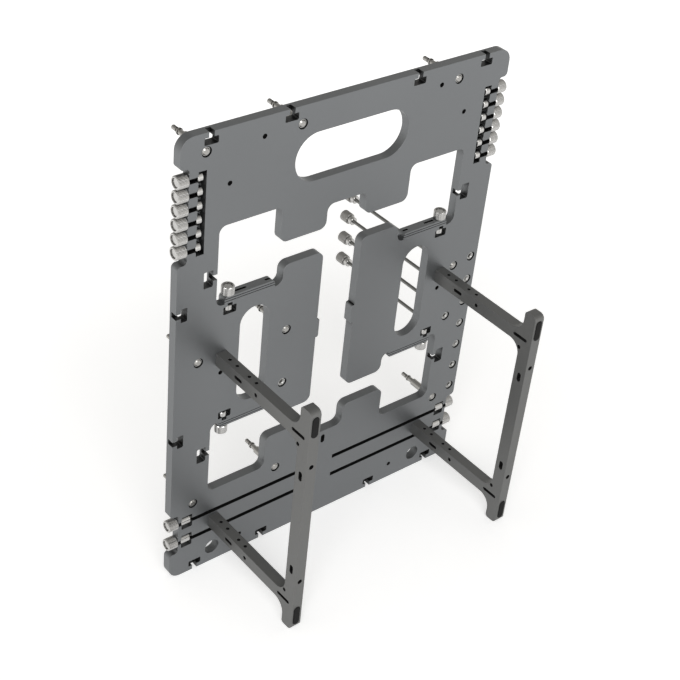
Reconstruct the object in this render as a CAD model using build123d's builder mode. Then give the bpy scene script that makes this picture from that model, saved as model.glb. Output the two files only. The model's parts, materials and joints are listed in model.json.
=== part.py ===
from build123d import *
import math
import os

# Open air test bench, in millimetres. Every piece is modelled in the plate's own frame:
# X across the plate, Z up the plate, Y through it. The underside, which carries the legs,
# is the face at Y = 0, and the board side is the face at Y = plate_t. The last lines lean
# the whole bench back on the plate's lower edge and the tips of its legs.

# Base plate
plate_w = 269.4
plate_h = 360.0
plate_t = 7.0
plate_corner_r = 10.0

# Big cut-out in the middle. Its steps are given inwards from the walls of its window.
cutout_rise = 0.5
cutout_corner_r = 5.5
window_inset_x = 30.9
window_inset_z = 69.9
notch_step = 10.0
tab_inset_x = 49.2
tab_l = 27.7
gap_half_w = 16.7
panel_inset_x = 53.6
panel_clearance = 18.6
shoulder_step = 14.6
tongue_w = 2.2
tongue_h = 15.5
tongue_r = 1.5

# Slots in the two inner panels, and the carrying handle
panel_slot_inset = 32.5
panel_slot_w = 24.3
panel_slot_end = 10.05
handle_w = 94.8
handle_h = 35.5
handle_inset = 39.5

# Recesses in the side edges that store the spare screws and posts
recess_d = 7.0
recess_outer_r = 3.0
recess_inner_r = 2.5
comb_inset = 55.4
comb_recess_h = 68.0
store_z = 41.1
store_recess_h = 36.2

# Depth of every groove in the underside. The metal left under it is a web on the board side.
groove_d = 5.2

# T-shaped slots that take a nut and a screw from an edge: a groove for the screw, and a
# pocket right through for the nut
tee_stem_w = 4.0
tee_stem_l = 3.8
tee_bar_w = 10.4
tee_bar_d = 4.9
tee_bar_r = 0.8
edge_tee_x = 52.5
edge_tee_inset = 22.2
side_tee_z = 127.6
side_tee_inset = 127.3
wall_tee_inset = 36.9
wall_tee_stem_l = 3.2
wall_tee_bar_w = 12.4
wall_tee_bar_d = 7.2

# Hole pattern of a full-size computer board, and of its expansion cards. Its far columns and
# rows follow the plate, and on a plate of this size they meet the standard pattern.
board_inset_x = 18.9
board_inset_z = 13.0
board_first_col = 72.39
board_col_step = 22.86
board_far_inset = 23.17
board_middle_rise = 9.02
board_row_step = 45.72
board_low_z = 65.06
card_inset = 6.2
card_clearance = 11.08
card_pitch = 20.32
card_count = 7
card_post_count = 4

# Threaded inserts, each seated below the underside in a counterbore
insert_r = 2.9
insert_bore_r = 1.4
insert_edge = 0.9
insert_sunk = 0.8
well_r = 3.7
well_d = 2.5

# Push pins that carry a board: base, shank, barb and split tip
pin_base_r = 2.9
pin_base_l = 16.5
pin_cone_l = 1.0
pin_shank_r = 1.9
pin_shank_l = 4.5
pin_barb_r = 2.4
pin_barb_l = 2.0
pin_neck_r = 1.2
pin_neck_l = 1.0
pin_tip_r = 1.6
pin_tip_l = 5.0
pin_slit_w = 0.6
pin_slit_l = 5.6
pin_head_r = 2.6
pin_head_l = 0.7

# Screws: a knob with a socket, on a stud that runs through a round nut
stud_r = 1.4
stud_in_knob = 5.0
stud_past_nut = 0.6
knob_r = 4.6
knob_l = 8.0
knob_edge = 0.5
knob_socket_r = 2.4
knob_socket_d = 2.0
nut_r = 3.4
nut_l = 4.0
nut_edge = 0.4
barrel_r = 3.7
barrel_l = 7.6

# Six screws stored in the comb of each side edge
comb_count = 6
comb_pitch = 10.0
comb_slot_w = 3.4
comb_tooth_l = 6.6
comb_tooth_r = 1.2
comb_window_w = 6.0
comb_pocket_h = 7.4

# Two posts stored at the foot of each side edge
store_pitch = 17.8
store_web_w = 2.8
store_slot_w = 3.4
store_pocket_w = 9.0
store_pocket_h = 11.5
store_groove_x = 11.4
store_rod_gap = 0.6

# Installed posts, with a nut and a knob at the far end
post_end_y = 146.2
post_start_y = 1.6
post_knob_l = 8.8
post_nut_r = 3.4
post_nut_l = 4.4

# Brackets on the shoulders, each held by a screw in a pocket of the plate
bracket_l = 40.5
bracket_h = 5.3
bracket_wall_gap = 6.8
bracket_end_r = 2.6
bracket_groove_w = 0.5
bracket_groove_d = 0.4
bracket_groove_zs = (1.8, 3.6)
bracket_slot_w = 1.8
bracket_slot_l = 9.0
bracket_slot_x = 14.8
bracket_hole_l = 4.6
bracket_hole_x = 36.7
bracket_screw_x = 4.5
bracket_knob_l = 6.6
pocket_stem_l = 2.4
pocket_w = 10.4
pocket_h = 6.0

# Plain holes in the plate
screw_hole_r = 1.75
leg_hole_inset = 39.6
edge_hole_inset = 13.8
cable_hole_r = 6.0
centre_slot_w = 3.5
centre_slot_h = 7.5
centre_slot_z = 72.9

# Legs, each cut in one piece from plate
leg_inset_x = 37.1
leg_t = 8.2
leg_low_z = 41.0
leg_high_rise = 6.3
arm_h = 9.8
bar_d = 10.5
leg_reach = 101.2
tip_over = 17.9
leg_fillet_r = 10.0
tip_outer_r = 4.0
tip_inner_r = 2.2
leg_slot_w = 2.6
arm_slot_l = 8.4
arm_slot_y = 25.0
side_hole_r = 1.5
arm_hole_y = 44.8
corner_slot_l = 13.4
corner_slot_inset = 11.1
corner_hole_inset = 8.1
oval_w = 3.4
oval_h = 7.6
oval_inset = 31.5
front_hole_r = 1.8
front_hole_inset = 22.0
top_hole_r = 1.25
top_hole_ys = (9.9, 18.1, 31.7, 39.6)
arm_tap_d = 8.0

# Rubber feet, pressed into the outer face of each leg's bar
foot_w = 5.4
foot_l = 16.4
foot_inset = 12.3
foot_depth = 2.0
foot_proud = 0.6
foot_edge = 0.4

# Countersunk screws that hold the legs, driven from the board side
leg_screw_r = 1.5
leg_screw_head_r = 3.0
leg_screw_head_h = 1.7
leg_screw_l = 14.4
leg_screw_socket_r = 1.1
leg_screw_socket_d = 1.0

near = 0.05
both = (-1, 1)
mid_y = plate_t / 2
edge_x = plate_w / 2
cutout_z = plate_h / 2 + cutout_rise
window_half_w = edge_x - window_inset_x
window_half_h = plate_h / 2 - window_inset_z
notch_half_h = window_half_h - notch_step
tab_outer_x = window_half_w - tab_inset_x
tab_half_h = window_half_h - tab_l
panel_step_x = window_half_w - panel_inset_x
panel_half_h = tab_half_h - panel_clearance
shoulder_half_h = panel_half_h - shoulder_step
panel_slot_x = window_half_w - panel_slot_inset
panel_slot_h = 2 * (shoulder_half_h - panel_slot_end)
wall_tee_offset = window_half_h - wall_tee_inset
edge_tee_xs = (edge_tee_x, edge_x - edge_tee_inset)
side_tee_zs = (side_tee_z, plate_h - side_tee_inset)
handle_z = plate_h - handle_inset
comb_z = plate_h - comb_inset
recess_x = edge_x - recess_d
tooth_x = recess_x - comb_tooth_l
pocket_x = recess_x - store_web_w
pocket_inner_x = pocket_x - store_pocket_w
comb_zs = [comb_z + (i - (comb_count - 1) / 2) * comb_pitch for i in range(comb_count)]
store_zs = [store_z + end * store_pitch / 2 for end in both]
leg_x = edge_x - leg_inset_x
arm_zs = [leg_low_z, cutout_z + leg_high_rise]
arm_pitch = arm_zs[1] - arm_zs[0]
leg_mid_z = leg_low_z + arm_pitch / 2
leg_h = arm_pitch + arm_h + 2 * tip_over
leg_hole_z = plate_h - leg_hole_inset
bar_inner_y = leg_reach - bar_d
corner_slot_y = leg_reach - corner_slot_inset
oval_offset = arm_pitch / 2 - oval_inset
front_hole_offset = arm_pitch / 2 - front_hole_inset
bracket_far_x = window_half_w - bracket_wall_gap
bracket_screw_at = bracket_far_x - bracket_screw_x
foot_zs = [leg_mid_z + end * (leg_h / 2 - foot_inset) for end in both]

near_cols = (board_inset_x - edge_x, board_inset_x - edge_x + board_first_col)
far_col = edge_x - board_far_inset
high_row = plate_h - board_inset_z
middle_row = cutout_z + board_middle_rise
bare_row = middle_row - board_row_step
pin_points = [(x, z) for z in (high_row, middle_row, board_low_z) for x in near_cols]
pin_points.append((far_col - board_col_step, high_row))
pin_points += [(far_col, z) for z in (middle_row, board_low_z)]
bare_points = [(x, bare_row) for x in (near_cols[1], far_col)]
card_x = edge_x - card_inset
card_z = store_z + store_recess_h / 2 + card_clearance + (card_count - 1) * card_pitch
card_points = [(card_x, card_z - i * card_pitch) for i in range(card_count)]
board_points = pin_points + bare_points

pieces = {}


def at(x, y):
    """Choose the corners of a sketch at a distance x from its middle line and a height y."""
    return lambda v: abs(abs(v.X) - x) < near and abs(v.Y - y) < near


# T-shaped slots: the middle of the mouth, the turn of the slot, and the sizes of its pocket
edge_pocket = (tee_stem_l, tee_bar_w, tee_bar_d)
wall_pocket = (wall_tee_stem_l, wall_tee_bar_w, wall_tee_bar_d)
bracket_pocket = (pocket_stem_l, pocket_w, pocket_h)
tees = [(-edge_x, z, 90, edge_pocket) for z in side_tee_zs]
for side in both:
    for x in edge_tee_xs:
        tees.append((side * x, plate_h, 0, edge_pocket))
        tees.append((side * x, 0, 180, edge_pocket))
    for end in both:
        tees.append((side * window_half_w, cutout_z + end * wall_tee_offset, 90 * side, wall_pocket))
        turn = 0 if end > 0 else 180
        tees.append((side * bracket_screw_at, cutout_z + end * shoulder_half_h, turn, bracket_pocket))


# The plate is one cut sheet: its outline and every cut that goes right through
with BuildSketch(Plane.XZ) as cutout:
    with Locations((0, cutout_z)):
        Rectangle(2 * window_half_w, 2 * window_half_h)
        tab_w = tab_outer_x - gap_half_w
        for side in both:
            for end in both:
                with Locations((side * (gap_half_w + tab_w / 2), end * window_half_h)):
                    Rectangle(tab_w, 2 * (window_half_h - tab_half_h), mode=Mode.SUBTRACT)
            panel_w = panel_step_x - gap_half_w
            with Locations((side * (gap_half_w + panel_w / 2), 0)):
                Rectangle(panel_w, 2 * panel_half_h, mode=Mode.SUBTRACT)
            shoulder_w = window_half_w - gap_half_w
            with Locations((side * (gap_half_w + shoulder_w / 2), 0)):
                Rectangle(shoulder_w, 2 * shoulder_half_h, mode=Mode.SUBTRACT)
        for end in both:
            with Locations((0, end * window_half_h)):
                Rectangle(2 * gap_half_w, 2 * (window_half_h - notch_half_h), mode=Mode.SUBTRACT)
    fillet(cutout.vertices(), cutout_corner_r)
    with Locations(*[(side * gap_half_w, cutout_z) for side in both]):
        Rectangle(2 * tongue_w, tongue_h, mode=Mode.SUBTRACT)
    for end in both:
        tongue_corner = at(gap_half_w - tongue_w, cutout_z + end * tongue_h / 2)
        fillet(cutout.vertices().filter_by(tongue_corner), tongue_r)

with BuildPart() as base_plate:
    with BuildSketch(Plane.XZ) as sheet:
        with Locations((0, plate_h / 2)):
            RectangleRounded(plate_w, plate_h, plate_corner_r)
        for z, h in ((comb_z, comb_recess_h), (store_z, store_recess_h)):
            with Locations(*[(side * edge_x, z) for side in both]):
                Rectangle(2 * recess_d, h, mode=Mode.SUBTRACT)
            for end in both:
                fillet(sheet.vertices().filter_by(at(edge_x, z + end * h / 2)), recess_outer_r)
                fillet(sheet.vertices().filter_by(at(recess_x, z + end * h / 2)), recess_inner_r)
        add(cutout.sketch_local, mode=Mode.SUBTRACT)
        with Locations(*[(side * panel_slot_x, cutout_z) for side in both]):
            SlotOverall(panel_slot_h, panel_slot_w, rotation=90, mode=Mode.SUBTRACT)
        with Locations((0, handle_z)):
            SlotOverall(handle_w, handle_h, mode=Mode.SUBTRACT)
        for x, z, turn, (neck_l, head_w, head_d) in tees:
            with Locations(Location((x, z, 0), (0, 0, turn))):
                with Locations((0, -neck_l - head_d / 2)):
                    RectangleRounded(head_w, head_d, tee_bar_r, mode=Mode.SUBTRACT)
        for side in both:
            with Locations(*[(side * (tooth_x - comb_window_w / 2), z) for z in comb_zs]):
                Rectangle(comb_window_w, comb_pocket_h, mode=Mode.SUBTRACT)
            with Locations(*[(side * (pocket_x - store_pocket_w / 2), z) for z in store_zs]):
                RectangleRounded(store_pocket_w, store_pocket_h, tee_bar_r, mode=Mode.SUBTRACT)
    extrude(amount=-plate_t)
    with BuildSketch(Plane.XZ) as plain_holes:
        with Locations(*[(side * leg_x, z) for side in both for z in (leg_hole_z, leg_hole_z - arm_pitch)]):
            Circle(screw_hole_r)
        with Locations(*[(side * leg_x, z) for side in both for z in arm_zs]):
            Circle(leg_screw_r)
        edge_hole_zs = (edge_hole_inset, plate_h - edge_hole_inset)
        with Locations(*[(side * arm_pitch / 2, z) for side in both for z in edge_hole_zs]):
            Circle(screw_hole_r)
        with Locations(*[(side * leg_x, edge_hole_inset) for side in both]):
            Circle(cable_hole_r)
        with Locations((0, centre_slot_z)):
            SlotOverall(centre_slot_h, centre_slot_w, rotation=90)
        with Locations(*board_points, *card_points):
            Circle(insert_r)
    extrude(amount=-plate_t, mode=Mode.SUBTRACT)
    with BuildSketch(Plane.XZ) as wells:
        with Locations(*board_points, *card_points):
            Circle(well_r)
    extrude(amount=-well_d, mode=Mode.SUBTRACT)
    with BuildSketch(Plane.XZ) as grooves:
        for x, z, turn, (neck_l, head_w, head_d) in tees:
            with Locations(Location((x, z, 0), (0, 0, turn))):
                with Locations((0, -neck_l / 2)):
                    Rectangle(tee_stem_w, neck_l + near)
        for side in both:
            with Locations((side * (tooth_x - comb_window_w / 2), comb_z)):
                Rectangle(comb_window_w, comb_count * comb_pitch)
            with Locations(*[(side * (recess_x - comb_tooth_l / 2), z) for z in comb_zs]):
                Rectangle(comb_tooth_l + near, comb_slot_w)
            groove_l = recess_x - store_groove_x
            with Locations(*[(side * (store_groove_x + groove_l / 2), z) for z in store_zs]):
                Rectangle(groove_l + near, store_slot_w)
    extrude(amount=-groove_d, mode=Mode.SUBTRACT)
    with BuildSketch(Plane.XZ.offset(-plate_t)) as countersinks:
        with Locations(*[(side * leg_x, z) for side in both for z in arm_zs]):
            Circle(leg_screw_head_r)
    head_slope = math.degrees(math.atan((leg_screw_head_r - leg_screw_r) / leg_screw_head_h))
    extrude(amount=leg_screw_head_h, taper=head_slope, mode=Mode.SUBTRACT)
    tooth_corners = base_plate.edges().filter_by(Axis.Y).filter_by(
        lambda e: abs(abs(e.center().X) - tooth_x) < near
        and min(abs(abs(e.center().Z - z) - comb_slot_w / 2) for z in comb_zs) < near)
    fillet(tooth_corners, comb_tooth_r)
pieces["base_plate"] = base_plate.part


def heading(x, y, z, direction):
    """Give the place at (x, y, z) whose own Z axis points along a direction."""
    return Plane(origin=(x, y, z), z_dir=direction).location


def knob(length, bore_l):
    """Make a knob that stands on its own origin, with a socket on top and a bore below."""
    with BuildPart() as made:
        Cylinder(knob_r, length, align=(Align.CENTER, Align.CENTER, Align.MIN))
        chamfer(made.edges(), knob_edge)
        with Locations((0, 0, length)):
            Cylinder(knob_socket_r, 2 * knob_socket_d, mode=Mode.SUBTRACT)
        if bore_l:
            Cylinder(stud_r, 2 * bore_l, mode=Mode.SUBTRACT)
    return made.part


def thumbscrew(length, stud_l):
    """Make a knob with a stud that hangs below it."""
    with BuildPart() as made:
        add(knob(length, 0))
        Cylinder(stud_r, stud_l, align=(Align.CENTER, Align.CENTER, Align.MAX))
    return made.part


def ring(r, length):
    """Make a round nut that stands on its own origin."""
    with BuildPart() as made:
        Cylinder(r, length, align=(Align.CENTER, Align.CENTER, Align.MIN))
        chamfer(made.edges(), nut_edge)
        Cylinder(stud_r, 2 * length, mode=Mode.SUBTRACT)
    return made.part


def rod(length):
    """Make a plain rod that stands on its own origin."""
    with BuildPart() as made:
        Cylinder(stud_r, length, align=(Align.CENTER, Align.CENTER, Align.MIN))
    return made.part


# Legs
with BuildPart() as leg_frame:
    with BuildSketch(Plane.YZ) as leg_side:
        with Locations((-leg_reach + bar_d / 2, leg_mid_z)):
            Rectangle(bar_d, leg_h)
        with Locations(*[(-bar_inner_y / 2, z) for z in arm_zs]):
            Rectangle(bar_inner_y, arm_h)
        inside = leg_side.vertices().filter_by(lambda v: abs(v.X + bar_inner_y) < near)
        arm_corners = inside.filter_by(lambda v: abs(v.Y - leg_mid_z) < leg_h / 2 - near)
        fillet(arm_corners, leg_fillet_r)
        ends = leg_side.vertices().filter_by(lambda v: abs(abs(v.Y - leg_mid_z) - leg_h / 2) < near)
        fillet(ends.filter_by(lambda v: v.X < -leg_reach + near), tip_outer_r)
        ends = leg_side.vertices().filter_by(lambda v: abs(abs(v.Y - leg_mid_z) - leg_h / 2) < near)
        fillet(ends.filter_by(lambda v: abs(v.X + bar_inner_y) < near), tip_inner_r)
    extrude(amount=leg_t / 2, both=True)
    with BuildSketch(Plane.YZ) as side_cuts:
        with Locations(*[(-arm_slot_y, z) for z in arm_zs]):
            SlotOverall(arm_slot_l, leg_slot_w)
        with Locations(*[(-corner_slot_y, z) for z in arm_zs]):
            SlotOverall(corner_slot_l, leg_slot_w)
        with Locations(*[(-arm_hole_y, z) for z in arm_zs]):
            Circle(side_hole_r)
        corner_hole_z = arm_pitch / 2 - corner_hole_inset
        with Locations(*[(-bar_inner_y, leg_mid_z + end * corner_hole_z) for end in both]):
            Circle(side_hole_r)
        with Locations(*[(-leg_reach + bar_d / 2, leg_mid_z + end * oval_offset) for end in both]):
            SlotOverall(oval_h, oval_w, rotation=90)
    extrude(amount=leg_t / 2, both=True, mode=Mode.SUBTRACT)
    with BuildSketch(Plane.XZ.offset(leg_reach)) as front_holes:
        with Locations(*[(0, leg_mid_z + end * front_hole_offset) for end in both]):
            Circle(front_hole_r)
    extrude(amount=-bar_d, mode=Mode.SUBTRACT)
    with BuildSketch(Plane.XZ.offset(leg_reach)) as foot_pockets:
        with Locations(*[(0, z) for z in foot_zs]):
            SlotOverall(foot_l, foot_w, rotation=90)
    extrude(amount=-foot_depth, mode=Mode.SUBTRACT)
    with BuildSketch(Plane.XZ) as taps:
        with Locations(*[(0, z) for z in arm_zs]):
            Circle(leg_screw_r)
    extrude(amount=arm_tap_d, mode=Mode.SUBTRACT)
    with BuildSketch(Plane.XY.offset(leg_mid_z)) as top_holes:
        with Locations(*[(0, -y) for y in top_hole_ys]):
            Circle(top_hole_r)
    extrude(amount=leg_h / 2, both=True, mode=Mode.SUBTRACT)

with BuildPart() as foot_pad:
    with BuildSketch(Plane.XZ.offset(leg_reach - foot_depth)) as foot_shape:
        SlotOverall(foot_l, foot_w, rotation=90)
    extrude(amount=foot_depth + foot_proud)
    chamfer(foot_pad.faces().sort_by(Axis.Y)[0].edges(), foot_edge)

for side, side_name in ((-1, "left"), (1, "right")):
    pieces["leg_frame_" + side_name] = Pos(side * leg_x, 0, 0) * leg_frame.part
    for z, end_name in zip(foot_zs, ("lower", "upper")):
        pieces["foot_pad_" + side_name + "_" + end_name] = Pos(side * leg_x, 0, z) * foot_pad.part

with BuildPart() as leg_screw:
    with BuildSketch(Plane.XZ) as screw_profile:
        with BuildLine():
            Polyline(
                (0, 0),
                (leg_screw_head_r, 0),
                (leg_screw_r, -leg_screw_head_h),
                (leg_screw_r, -leg_screw_l),
                (0, -leg_screw_l),
                close=True,
            )
        make_face()
    revolve(axis=Axis.Z)
    Cylinder(leg_screw_socket_r, 2 * leg_screw_socket_d, mode=Mode.SUBTRACT)
leg_screws = [
    heading(side * leg_x, plate_t, z, (0, 1, 0)) * leg_screw.part for side in both for z in arm_zs
]
pieces["leg_screws"] = leg_screws

# Threaded inserts, set flush with the board side
insert_l = plate_t - insert_sunk
with BuildPart() as insert:
    Cylinder(insert_r, insert_l, align=(Align.CENTER, Align.CENTER, Align.MAX))
    Cylinder(insert_bore_r, 2 * insert_l + near, mode=Mode.SUBTRACT)
    mouth = insert.edges().filter_by(GeomType.CIRCLE).group_by(Axis.Z)[0].sort_by(SortBy.RADIUS)[0]
    chamfer(mouth, insert_edge)
pieces["board_inserts"] = [heading(x, plate_t, z, (0, 1, 0)) * insert.part for x, z in board_points]
pieces["card_inserts"] = [heading(x, plate_t, z, (0, 1, 0)) * insert.part for x, z in card_points]

# Pins that carry a board, each closed over its insert on the underside
pin_zs = [0]
for step in (pin_base_l, pin_cone_l, pin_shank_l, pin_barb_l, pin_neck_l, pin_tip_l):
    pin_zs.append(pin_zs[-1] + step)
base_z, cone_z, shank_z, barb_z, neck_z, tip_z = pin_zs[1:]
with BuildPart() as board_pin:
    with BuildSketch(Plane.XZ) as pin_profile:
        with BuildLine():
            Polyline(
                (0, -insert_l - pin_head_l),
                (pin_head_r - pin_head_l, -insert_l - pin_head_l),
                (pin_head_r, -insert_l),
                (insert_bore_r, -insert_l),
                (insert_bore_r, 0),
                (pin_base_r, 0),
                (pin_base_r, base_z),
                (pin_shank_r, cone_z),
                (pin_shank_r, shank_z),
                (pin_barb_r, shank_z),
                (pin_barb_r, shank_z + pin_barb_l / 2),
                (pin_neck_r, barb_z),
                (pin_neck_r, neck_z),
                (pin_tip_r, neck_z),
                (pin_tip_r, tip_z - pin_tip_r / 2),
                (pin_tip_r / 2, tip_z),
                (0, tip_z),
                close=True,
            )
        make_face()
    revolve(axis=Axis.Z)
    with Locations((0, 0, tip_z)):
        Box(2 * pin_barb_r, pin_slit_w, 2 * pin_slit_l, mode=Mode.SUBTRACT)
for i, (x, z) in enumerate(pin_points):
    pieces["board_pin_" + str(i + 1)] = heading(x, plate_t, z, (0, 1, 0)) * board_pin.part

# Posts for expansion cards
knob_y = post_end_y - post_knob_l
post_knob = knob(post_knob_l, stud_in_knob)
post_nut = ring(post_nut_r, post_nut_l)
post_rod = rod(knob_y + stud_in_knob - post_start_y)
for row in range(1, card_post_count + 1):
    x, z = card_points[row]
    pieces["card_post_" + str(row)] = heading(x, post_start_y, z, (0, 1, 0)) * post_rod
    pieces["card_post_nut_" + str(row)] = heading(x, knob_y - post_nut_l, z, (0, 1, 0)) * post_nut
    pieces["card_post_knob_" + str(row)] = heading(x, knob_y, z, (0, 1, 0)) * post_knob

# Brackets on the shoulders
with BuildPart() as bracket:
    with BuildSketch(Plane.XZ) as bracket_side:
        with Locations((-bracket_l / 2, bracket_h / 2)):
            Rectangle(bracket_l, bracket_h)
        fillet(bracket_side.vertices().filter_by(lambda v: v.Y > bracket_h - near), bracket_end_r)
    extrude(amount=-plate_t)
    with BuildSketch(Plane.XY) as bracket_cuts:
        with Locations((-bracket_slot_x, mid_y)):
            SlotOverall(bracket_slot_l, bracket_slot_w)
        with Locations((-bracket_hole_x, mid_y)):
            SlotOverall(bracket_hole_l, bracket_slot_w)
        with Locations((-bracket_screw_x, mid_y)):
            Circle(screw_hole_r)
    extrude(amount=bracket_h, mode=Mode.SUBTRACT)
    with Locations(*[(-bracket_l / 2, y, z) for y in (0, plate_t) for z in bracket_groove_zs]):
        Box(bracket_l, 2 * bracket_groove_d, bracket_groove_w, mode=Mode.SUBTRACT)
bracket_screw = thumbscrew(bracket_knob_l, bracket_h + pocket_stem_l + nut_l + stud_past_nut)
round_nut = ring(nut_r, nut_l)
bracket_nuts = []
for side, side_name in ((-1, "left"), (1, "right")):
    for end, end_name in ((-1, "lower"), (1, "upper")):
        name = "_" + side_name + "_" + end_name
        shoulder_z = cutout_z + end * shoulder_half_h
        placed = bracket.part
        if side < 0:
            placed = mirror(placed, about=Plane.YZ, mode=Mode.PRIVATE)
        if end < 0:
            placed = mirror(placed, about=Plane.XY, mode=Mode.PRIVATE)
        pieces["bracket" + name] = Pos(side * bracket_far_x, 0, shoulder_z) * placed
        top = shoulder_z + end * bracket_h
        screw_place = heading(side * bracket_screw_at, mid_y, top, (0, 0, end))
        pieces["bracket_screw" + name] = screw_place * bracket_screw
        under = shoulder_z - end * pocket_stem_l
        bracket_nuts.append(heading(side * bracket_screw_at, mid_y, under, (0, 0, -end)) * round_nut)
pieces["bracket_nuts"] = bracket_nuts

# Spare screws and posts stored in the side edges
comb_screw = thumbscrew(knob_l, comb_tooth_l + nut_l + stud_past_nut)
store_knob = knob(knob_l, stud_in_knob)
store_barrel = ring(barrel_r, barrel_l)
store_rod = rod(recess_x + stud_in_knob - store_groove_x - store_rod_gap)
store_knobs = []
store_barrels = []
for side, side_name in ((-1, "left"), (1, "right")):
    out = (side, 0, 0)
    inwards = (-side, 0, 0)
    pieces["spare_screws_" + side_name] = [
        heading(side * recess_x, mid_y, z, out) * comb_screw for z in comb_zs
    ]
    pieces["spare_nuts_" + side_name] = [
        heading(side * tooth_x, mid_y, z, inwards) * round_nut for z in comb_zs
    ]
    for z, end_name in zip(store_zs, ("lower", "upper")):
        place = heading(side * (recess_x + stud_in_knob), mid_y, z, inwards)
        pieces["spare_post_" + side_name + "_" + end_name] = place * store_rod
        store_knobs.append(heading(side * recess_x, mid_y, z, out) * store_knob)
        store_barrels.append(heading(side * pocket_x, mid_y, z, inwards) * store_barrel)
pieces["spare_post_knobs"] = store_knobs
pieces["spare_post_nuts"] = store_barrels

# The bench leans back until the tips of its legs and the plate's lower edge share one floor
tip_y = leg_reach - tip_outer_r
tip_z = leg_mid_z - leg_h / 2 + tip_outer_r
tip_far = math.hypot(tip_y, tip_z)
lean = math.degrees(math.acos(tip_outer_r / tip_far) - math.atan2(tip_y, tip_z))

os.makedirs("parts", exist_ok=True)
for name, made in pieces.items():
    solids = made if isinstance(made, list) else [made]
    leaning = [Rot(lean, 0, 0) * solid for solid in solids]
    node = leaning[0] if len(leaning) == 1 else Compound(children=leaning)
    node.label = name
    export_step(node, "parts/" + name + ".step")
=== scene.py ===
import json
import math

import bpy
from mathutils import Matrix, Vector


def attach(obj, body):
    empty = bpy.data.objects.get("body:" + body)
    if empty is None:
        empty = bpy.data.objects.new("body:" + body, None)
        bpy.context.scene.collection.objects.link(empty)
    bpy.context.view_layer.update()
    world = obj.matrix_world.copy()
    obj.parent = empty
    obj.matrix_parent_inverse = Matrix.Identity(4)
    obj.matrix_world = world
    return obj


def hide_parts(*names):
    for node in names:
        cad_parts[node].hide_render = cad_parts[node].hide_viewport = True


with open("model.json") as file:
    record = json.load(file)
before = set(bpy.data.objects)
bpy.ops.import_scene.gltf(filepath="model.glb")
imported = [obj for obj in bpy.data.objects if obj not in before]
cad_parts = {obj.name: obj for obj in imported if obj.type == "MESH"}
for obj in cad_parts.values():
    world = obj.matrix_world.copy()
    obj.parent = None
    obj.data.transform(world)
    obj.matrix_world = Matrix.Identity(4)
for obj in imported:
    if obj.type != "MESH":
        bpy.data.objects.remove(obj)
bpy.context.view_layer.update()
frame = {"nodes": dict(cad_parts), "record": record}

# The bench leans back by this angle. Its pieces are laid out in the plate's own frame, in
# millimetres: X across the plate, Y from the legs to the board side, Z up the plate.
LEAN = 10.566122
MM = 0.001
BENCH = Matrix.Rotation(math.radians(LEAN), 4, "X") @ Matrix.Scale(MM, 4)
NEAR = 0.01

SIDES = ((-1, "left"), (1, "right"))
ENDS = ((-1, "lower"), (1, "upper"))

# Where the knobs sit
PLATE_T = 7.0
MID_Y = PLATE_T / 2
EDGE_X = 134.7
RECESS_D = 7.0
RECESS_X = EDGE_X - RECESS_D
COMB_Z = 304.6
COMB_PITCH = 10.0
COMB_COUNT = 6
COMB_ZS = [COMB_Z + COMB_PITCH * (i - (COMB_COUNT - 1) / 2) for i in range(COMB_COUNT)]
STORE_Z = 41.1
STORE_HALF_GAP = 8.9
STORE_ZS = (STORE_Z - STORE_HALF_GAP, STORE_Z + STORE_HALF_GAP)
CUTOUT_Z = 180.5
SHOULDER = 49.2
BRACKET_H = 5.3
BRACKET_SCREW_X = 92.5
CARD_X = 128.5
CARD_TOP_Z = 192.2
CARD_PITCH = 20.32
CARD_ZS = [CARD_TOP_Z - CARD_PITCH * i for i in (1, 2, 3, 4)]
POST_KNOB_Y = 137.4

# Knobs, studs and the strips in the combs
KNOB_R = 4.6
KNOB_EDGE = 0.5
KNOB_FLUTES = 36
FLUTE_D = 0.16
DISH_R = 3.4
DISH_FLOOR_R = 3.2
DISH_D = 0.8
COMB_KNOB_L = 8.0
BRACKET_KNOB_L = 6.6
POST_KNOB_L = 8.8
STUD_R = 1.4
STUD_SIDES = 20
THREAD_PITCH = 0.5
THREAD_D = 0.22
COMB_STUD_L = 11.2
BRACKET_STUD_L = 12.3
FILLER_X = 116.03
FILLER_Y = 6.1
FILLER_SIZE = (1.8, 1.7, 7.3)
FILLER_EDGE = 0.15

# Studio, in metres
FLOOR_SIZE = 30
WHITE = (1, 1, 1)
PAPER = (0.92, 0.92, 0.92)
WARM_AIR = (1, 0.985, 0.95)
AIR_LIGHT = 0.4
LENS = 77.2988
SENSOR = 36
CAMERA_PLACE = (-0.561432, -0.757222, 0.643007)
CAMERA_RIGHT = (0.779009, -0.626419, -0.0273)
CAMERA_UP = (0.310078, 0.347037, 0.885109)
CAMERA_BACK = (-0.544975, -0.697972, 0.464583)


# Finishes

class Maths:
    """A shader value that takes part in Python expressions."""

    def __init__(self, nodes, socket):
        self.nodes = nodes
        self.socket = socket

    def join(self, operation, first, second):
        return self.nodes.node("ShaderNodeMath", {"operation": operation}, {0: first, 1: second})

    def __add__(self, other):
        return self.join("ADD", self, other)

    def __radd__(self, other):
        return self.join("ADD", other, self)

    def __sub__(self, other):
        return self.join("SUBTRACT", self, other)

    def __rsub__(self, other):
        return self.join("SUBTRACT", other, self)

    def __mul__(self, other):
        return self.join("MULTIPLY", self, other)

    def __rmul__(self, other):
        return self.join("MULTIPLY", other, self)

    def either(self, other):
        return self.join("MAXIMUM", self, other)

    def clamped(self):
        return self.nodes.node("ShaderNodeClamp", {}, {"Value": self})


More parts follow.
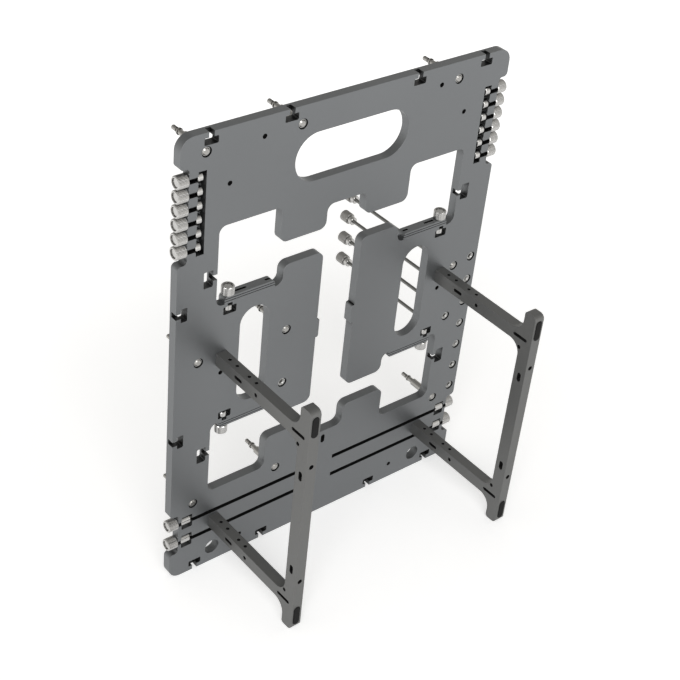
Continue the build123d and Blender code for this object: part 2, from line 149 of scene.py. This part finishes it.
class Nodes:
    """A node tree that starts empty."""

    def __init__(self, tree):
        self.tree = tree
        tree.nodes.clear()

    def node(self, kind, settings, sockets, output=0):
        """Add a node, set it up, feed its sockets and give one of its outputs, if it has any."""
        made = self.tree.nodes.new(kind)
        for key, value in settings.items():
            setattr(made, key, value)
        for key, value in sockets.items():
            if isinstance(value, Maths):
                self.tree.links.new(value.socket, made.inputs[key])
            else:
                made.inputs[key].default_value = value
        return Maths(self, made.outputs[output]) if made.outputs else None

    def blend(self, first, second, factor):
        """Mix two colours, each one a triple or a node's colour."""
        ends = [c if isinstance(c, Maths) else (*c, 1) for c in (first, second)]
        sockets = {0: factor, 6: ends[0], 7: ends[1]}
        return self.node("ShaderNodeMix", {"data_type": "RGBA"}, sockets, 2)

    def fade(self, value, start, stop, low, high):
        """Go softly from low to high while a value goes from start to stop."""
        sockets = {"Value": value, "From Min": start, "From Max": stop}
        sockets |= {"To Min": low, "To Max": high}
        return self.node("ShaderNodeMapRange", {"interpolation_type": "SMOOTHSTEP"}, sockets)

    def ray(self, kind):
        """Give 1 for rays of one kind and 0 for all others."""
        return self.node("ShaderNodeLightPath", {}, {}, "Is " + kind + " Ray")


class Finish(Nodes):
    """A procedural material, put together from nodes."""

    def __init__(self, name):
        self.material = bpy.data.materials.new(name)
        self.material.use_nodes = True
        super().__init__(self.material.node_tree)

    def place(self):
        return self.node("ShaderNodeTexCoord", {}, {}, "Object")

    def noise(self, scale, detail):
        """Give smooth noise in 0 to 1, with features of about 1 / scale metres."""
        sockets = {"Vector": self.place(), "Scale": scale, "Detail": detail}
        return self.node("ShaderNodeTexNoise", {}, sockets)

    def bump(self, height, depth, strength, normal=None):
        """Raise the surface by up to a depth in millimetres, on top of a normal if one is given."""
        sockets = {"Height": height, "Distance": depth * MM, "Strength": strength}
        if normal:
            sockets["Normal"] = normal
        return self.node("ShaderNodeBump", {}, sockets)

    def recess_shade(self, reach, gain):
        """Give a mask for painted shade: 0 on open surfaces, and up to 1 in slots and holes about
        as wide as the reach.
        """
        settings = {"samples": 6, "only_local": True}
        sockets = {"Distance": reach * MM}
        clear = self.node("ShaderNodeAmbientOcclusion", settings, sockets, "AO")
        return ((1 - clear) * gain).clamped()

    def softened(self, radius):
        """Give the normal that the surface has with its sharp edges rounded a little."""
        return self.node("ShaderNodeBevel", {"samples": 4}, {"Radius": radius * MM})

    def edge(self, rounded, gain):
        """Give 0 on flat surfaces and up to 1 along sharp edges."""
        straight = self.node("ShaderNodeNewGeometry", {}, {}, "True Normal")
        sockets = {0: rounded, 1: straight}
        same = self.node("ShaderNodeVectorMath", {"operation": "DOT_PRODUCT"}, sockets, "Value")
        return ((1 - same) * gain).clamped()

    def show(self, surface):
        """End the material with a shader."""
        self.node("ShaderNodeOutputMaterial", {}, {"Surface": surface})
        return self.material

    def close(self, **sockets):
        """End the material with a surface shader that takes these sockets."""
        named = {key.replace("_", " "): value for key, value in sockets.items()}
        return self.show(self.node("ShaderNodeBsdfPrincipled", {}, named))


# Lighter metal for the edges: partly rubbed wear, partly a painted highlight.
RUBBED_AND_HIGHLIT_METAL = (0.3, 0.31, 0.31)
# Painted shade: the colours that metal is darkened towards deep in slots, holes and hollows, where
# light does not reach.
SHADED_METAL = (0.018, 0.018, 0.018)
SHADED_STEEL = (0.06, 0.055, 0.05)


def anodised(name, dark, light, metallic):
    """Blasted and anodised metal: an even satin grey with a fine grain, edges lightened partly as
    rubbed wear and partly as a painted highlight, and painted shade in slots and holes.
    """
    finish = Finish(name)
    grain = finish.noise(2600, 2)
    cloud = finish.noise(14, 3)
    tone = (0.45 * grain + 0.55 * cloud).clamped()
    rounded = finish.softened(0.35)
    # Edges lighter: partly rubbed wear, partly a painted highlight along them.
    rubbed_and_highlit = finish.edge(rounded, 1.5) * (0.3 + 0.7 * finish.noise(60, 4))
    skin = finish.blend(finish.blend(dark, light, tone), RUBBED_AND_HIGHLIT_METAL, rubbed_and_highlit)
    return finish.close(
        # Painted shade darkens the metal in slots and holes.
        Base_Color=finish.blend(skin, SHADED_METAL, finish.recess_shade(7, 2.6)),
        Metallic=metallic,
        Roughness=0.36 + 0.16 * grain,
        Normal=finish.bump(grain, 0.03, 0.5, rounded),
    )


def bright_steel(name, dark, light, rough):
    """Nickelled steel with faint marks from the lathe, and painted shade in its hollows."""
    finish = Finish(name)
    marks = finish.noise(1800, 3)
    skin = finish.blend(dark, light, marks)
    return finish.close(
        # Painted shade darkens the dish and the valleys between the flutes.
        Base_Color=finish.blend(skin, SHADED_STEEL, finish.recess_shade(1.1, 1.5)),
        Metallic=1.0,
        Roughness=rough + 0.14 * marks,
        Normal=finish.bump(marks, 0.02, 0.4),
    )


def blackened(name):
    """Black oxide on steel, with a dull shine."""
    finish = Finish(name)
    marks = finish.noise(900, 4)
    return finish.close(
        Base_Color=finish.blend((0.012, 0.012, 0.013), (0.03, 0.03, 0.032), marks),
        Metallic=0.5,
        Roughness=0.34 + 0.2 * marks,
        Normal=finish.bump(marks, 0.02, 0.5),
    )


def soft_rubber(name):
    """Black rubber with a dry, grainy skin."""
    finish = Finish(name)
    grain = finish.noise(1500, 5)
    return finish.close(
        Base_Color=finish.blend((0.006, 0.006, 0.006), (0.016, 0.016, 0.016), grain),
        Specular_IOR_Level=0.2,
        Roughness=0.7 + 0.2 * grain,
        Normal=finish.bump(grain, 0.08, 0.6),
    )


plate_finish = anodised("plate_anodised", (0.166, 0.173, 0.179), (0.194, 0.201, 0.207), 0.86)
leg_finish = anodised("leg_anodised", (0.14, 0.141, 0.138), (0.164, 0.165, 0.162), 0.6)
steel_finish = bright_steel("bright_steel", (0.35, 0.345, 0.335), (0.65, 0.645, 0.635), 0.14)
# A darker, rougher copy of the bright steel. Its darker colour is painted shade, for the post knobs
# that stand behind the plate out of the key light.
shade_painted_steel_finish = bright_steel("steel_with_painted_shade", (0.24, 0.236, 0.228), (0.42, 0.412, 0.4), 0.24)
pin_finish = bright_steel("pin_steel", (0.27, 0.264, 0.25), (0.46, 0.452, 0.436), 0.22)
insert_finish = bright_steel("insert_steel", (0.36, 0.36, 0.35), (0.52, 0.52, 0.51), 0.3)
rod_finish = bright_steel("rod_steel", (0.14, 0.14, 0.135), (0.24, 0.24, 0.23), 0.3)
black_finish = blackened("blackened_steel")
rubber_finish = soft_rubber("foot_rubber")

SLOT_FINISH = {
    "plate": plate_finish,
    "leg": leg_finish,
    "bracket": plate_finish,
    "hardware": steel_finish,
    "pin": pin_finish,
    "rod": rod_finish,
    "insert": insert_finish,
    "black_screw": black_finish,
    "rubber": rubber_finish,
}
for part in frame["record"]["subparts"]:
    node = frame["nodes"][part["node"]]
    node.data.materials.clear()
    node.data.materials.append(SLOT_FINISH[part["material_slot"]])


# Knobs, studs and strips

def start_fresh():
    if bpy.context.mode != "OBJECT":
        bpy.ops.object.mode_set(mode="OBJECT")
    bpy.ops.object.select_all(action="DESELECT")


def settle():
    """Take the new primitive's place and size into its mesh."""
    bpy.ops.object.transform_apply(location=True, rotation=True, scale=True)
    return bpy.context.active_object


def pick(obj, wanted):
    """In edit mode, select the vertices, edges and faces whose every corner passes a test."""
    bpy.ops.object.mode_set(mode="OBJECT")
    mesh = obj.data
    for v in mesh.vertices:
        v.select = wanted(v.co)
    for e in mesh.edges:
        e.select = all(mesh.vertices[i].select for i in e.vertices)
    for f in mesh.polygons:
        f.select = all(mesh.vertices[i].select for i in f.vertices)
    bpy.ops.object.mode_set(mode="EDIT")


def push_on(distance, scale):
    """Extrude what is selected along Z, then narrow or widen it about its own middle."""
    bpy.ops.mesh.extrude_region_move(TRANSFORM_OT_translate={"value": (0, 0, distance)})
    bpy.ops.transform.resize(value=(scale, scale, 1))


def finish_off(obj, finish):
    """Turn the faces outwards, leave edit mode and give the object its finish."""
    bpy.ops.mesh.select_all(action="SELECT")
    bpy.ops.mesh.normals_make_consistent(inside=False)
    bpy.ops.object.mode_set(mode="OBJECT")
    obj.data.materials.append(finish)
    return obj


def knurled_knob(length, finish):
    """Model a knob on the origin: fluted all round, chamfered, with a shallow dish in its end."""
    start_fresh()
    body = length - 2 * KNOB_EDGE
    bpy.ops.mesh.primitive_cylinder_add(
        vertices=2 * KNOB_FLUTES, radius=KNOB_R, depth=body, location=(0, 0, length / 2)
    )
    knob = settle()
    step = math.pi / KNOB_FLUTES

    def in_valley(co):
        return round(math.atan2(co.y, co.x) / step) % 2 == 1

    bpy.ops.object.mode_set(mode="EDIT")
    bpy.ops.mesh.select_mode(type="VERT")
    valley = (KNOB_R - FLUTE_D) / KNOB_R
    rims = ((-1, KNOB_EDGE), (1, KNOB_EDGE + body))
    for _, z in rims:
        pick(knob, lambda co: in_valley(co) and abs(co.z - z) < NEAR)
        bpy.ops.transform.resize(value=(valley, valley, 1))
    rim = KNOB_R - KNOB_EDGE
    for outwards, z in rims:
        pick(knob, lambda co: abs(co.z - z) < NEAR)
        push_on(KNOB_EDGE * outwards, rim / KNOB_R)
    pick(knob, lambda co: abs(co.z - length) < NEAR)
    push_on(0, DISH_R / rim)
    push_on(-DISH_D, DISH_FLOOR_R / DISH_R)
    return finish_off(knob, finish)


def threaded_stud(length):
    """Model a stud that hangs below the origin, ridged like a screw thread."""
    start_fresh()
    root_r = STUD_R - THREAD_D
    bpy.ops.mesh.primitive_circle_add(vertices=STUD_SIDES, radius=root_r, location=(0, 0, -length))
    stud = settle()
    bpy.ops.object.mode_set(mode="EDIT")
    bpy.ops.mesh.select_all(action="SELECT")
    bpy.ops.mesh.edge_face_add()
    turns = round(length / THREAD_PITCH)
    wide = STUD_R / root_r
    for _ in range(turns):
        push_on(length / turns / 2, wide)
        push_on(length / turns / 2, 1 / wide)
    return finish_off(stud, black_finish)


def comb_filler():
    """Model a strip on the origin, with its edges broken."""
    start_fresh()
    bpy.ops.mesh.primitive_cube_add(size=1, location=(0, 0, 0))
    bpy.ops.transform.resize(value=FILLER_SIZE)
    filler = settle()
    bpy.ops.object.mode_set(mode="EDIT")
    bpy.ops.mesh.select_all(action="SELECT")
    bpy.ops.mesh.bevel(offset=FILLER_EDGE, segments=1)
    return finish_off(filler, plate_finish)


def towards(x, y, z, direction):
    """Give the place at (x, y, z) in the plate's frame whose Z axis points along a direction."""
    turn = Vector((0, 0, 1)).rotation_difference(Vector(direction)).to_matrix().to_4x4()
    return BENCH @ Matrix.Translation((x, y, z)) @ turn


def set_out(name, models, places, node=None):
    """Put copies of some models at each place, as one piece, which may stand for a CAD node."""
    copies = []
    for place in places:
        for model in models:
            twin = bpy.data.objects.new(name, model.data.copy())
            bpy.context.collection.objects.link(twin)
            twin.data.transform(place)
            copies.append(twin)
    start_fresh()
    for twin in copies:
        twin.select_set(True)
    bpy.context.view_layer.objects.active = copies[0]
    if len(copies) > 1:
        bpy.ops.object.join()
    piece = bpy.context.active_object
    piece.name = name
    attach(piece, "root")
    if node:
        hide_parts(node)


comb_knob = knurled_knob(COMB_KNOB_L, steel_finish)
comb_stud = threaded_stud(COMB_STUD_L)
bracket_knob = knurled_knob(BRACKET_KNOB_L, steel_finish)
bracket_stud = threaded_stud(BRACKET_STUD_L)
# The post knobs take the steel darkened with painted shade.
post_knob = knurled_knob(POST_KNOB_L, shade_painted_steel_finish)
filler = comb_filler()

for side, side_name in SIDES:
    places = [towards(side * RECESS_X, MID_Y, z, (side, 0, 0)) for z in COMB_ZS]
    models = [comb_knob, comb_stud]
    set_out("thumbscrews_" + side_name, models, places, "spare_screws_" + side_name)
    for end, end_name in ENDS:
        where = side_name + "_" + end_name
        top = CUTOUT_Z + end * (SHOULDER + BRACKET_H)
        place = towards(side * BRACKET_SCREW_X, MID_Y, top, (0, 0, end))
        models = [bracket_knob, bracket_stud]
        name = "bracket_thumbscrew_" + where
        set_out(name, models, [place], "bracket_screw_" + where)
for row, z in enumerate(CARD_ZS, 1):
    place = towards(CARD_X, POST_KNOB_Y, z, (0, 1, 0))
    set_out(f"post_knob_{row}", [post_knob], [place], f"card_post_knob_{row}")
places = [towards(s * RECESS_X, MID_Y, z, (s, 0, 0)) for s, _ in SIDES for z in STORE_ZS]
set_out("stored_post_knobs", [comb_knob], places, "spare_post_knobs")

# The photo shows no light through the nut pockets of the combs, so a strip closes each one
for side, side_name in SIDES:
    places = [BENCH @ Matrix.Translation((side * FILLER_X, FILLER_Y, z)) for z in COMB_ZS]
    set_out("comb_fillers_" + side_name, [filler], places)

for model in (comb_knob, comb_stud, bracket_knob, bracket_stud, post_knob, filler):
    bpy.data.objects.remove(model)


# Floor, light and camera

# The floor takes the bench's shadow, and adds a glow of its own where the camera, metal or
# glass sees it. The glow is weaker near the bench, which paints shade on the floor around it. It
# throws no light from that glow.
paper = Finish("paper")
paper.material.cycles.emission_sampling = "NONE"
seen = paper.ray("Camera").either(paper.ray("Glossy")).either(paper.ray("Transmission"))
away = paper.node("ShaderNodeVectorMath", {"operation": "LENGTH"}, {0: paper.place()}, "Value")
# Painted shade: the glow fades down near the bench.
glow = seen * paper.fade(away, 0.15, 1.2, 0.445, 0.8)
lit = paper.node("ShaderNodeBsdfDiffuse", {}, {"Color": (*PAPER, 1)})
glowing = paper.node("ShaderNodeEmission", {}, {"Strength": glow})
paper.show(paper.node("ShaderNodeAddShader", {}, {0: lit, 1: glowing}))

start_fresh()
bpy.ops.mesh.primitive_plane_add(size=FLOOR_SIZE, location=(0, 0, 0))
floor = bpy.context.active_object
floor.name = "floor"
floor.data.materials.append(paper.material)

# The air is white to the camera. Metal and glass see it white near the horizon and dim above,
# and the bench takes a dim, warm light from all of it.
world = bpy.data.worlds.new("studio")
bpy.context.scene.world = world
world.use_nodes = True
air = Nodes(world.node_tree)
by_camera = air.ray("Camera")
mirrored = air.ray("Glossy").either(air.ray("Transmission"))
way = air.node("ShaderNodeTexCoord", {}, {}, "Generated")
height = air.node("ShaderNodeSeparateXYZ", {}, {0: way}, "Z")
strength = AIR_LIGHT * (1 - mirrored) + air.fade(height, 0.1, 0.75, 1.0, 0.4) * mirrored
sockets = {
    "Color": air.blend(WARM_AIR, WHITE, by_camera),
    "Strength": strength * (1 - by_camera) + by_camera,
}
sky = air.node("ShaderNodeBackground", {}, sockets)
air.node("ShaderNodeOutputWorld", {}, {"Surface": sky})


def softbox(name, place, aim, size, power):
    """Hang an area light at a place and turn it towards a point."""
    light = bpy.data.lights.new(name, "AREA")
    light.shape = "RECTANGLE"
    light.size, light.size_y = size
    light.energy = power
    holder = bpy.data.objects.new(name, light)
    holder.location = place
    holder.rotation_euler = (Vector(aim) - Vector(place)).to_track_quat("-Z", "Y").to_euler()
    bpy.context.collection.objects.link(holder)


softbox("key", place=(-1.3, -2.0, 1.6), aim=(0, 0, 0.15), size=(1.6, 1.2), power=40)

camera = bpy.data.cameras.new("camera")
camera.sensor_width = SENSOR
camera.lens = LENS
viewer = bpy.data.objects.new("camera", camera)
turn = Matrix((CAMERA_RIGHT, CAMERA_UP, CAMERA_BACK)).transposed().to_4x4()
viewer.matrix_world = Matrix.Translation(CAMERA_PLACE) @ turn
bpy.context.collection.objects.link(viewer)
bpy.context.scene.camera = viewer
bpy.context.scene.view_settings.view_transform = "Standard"
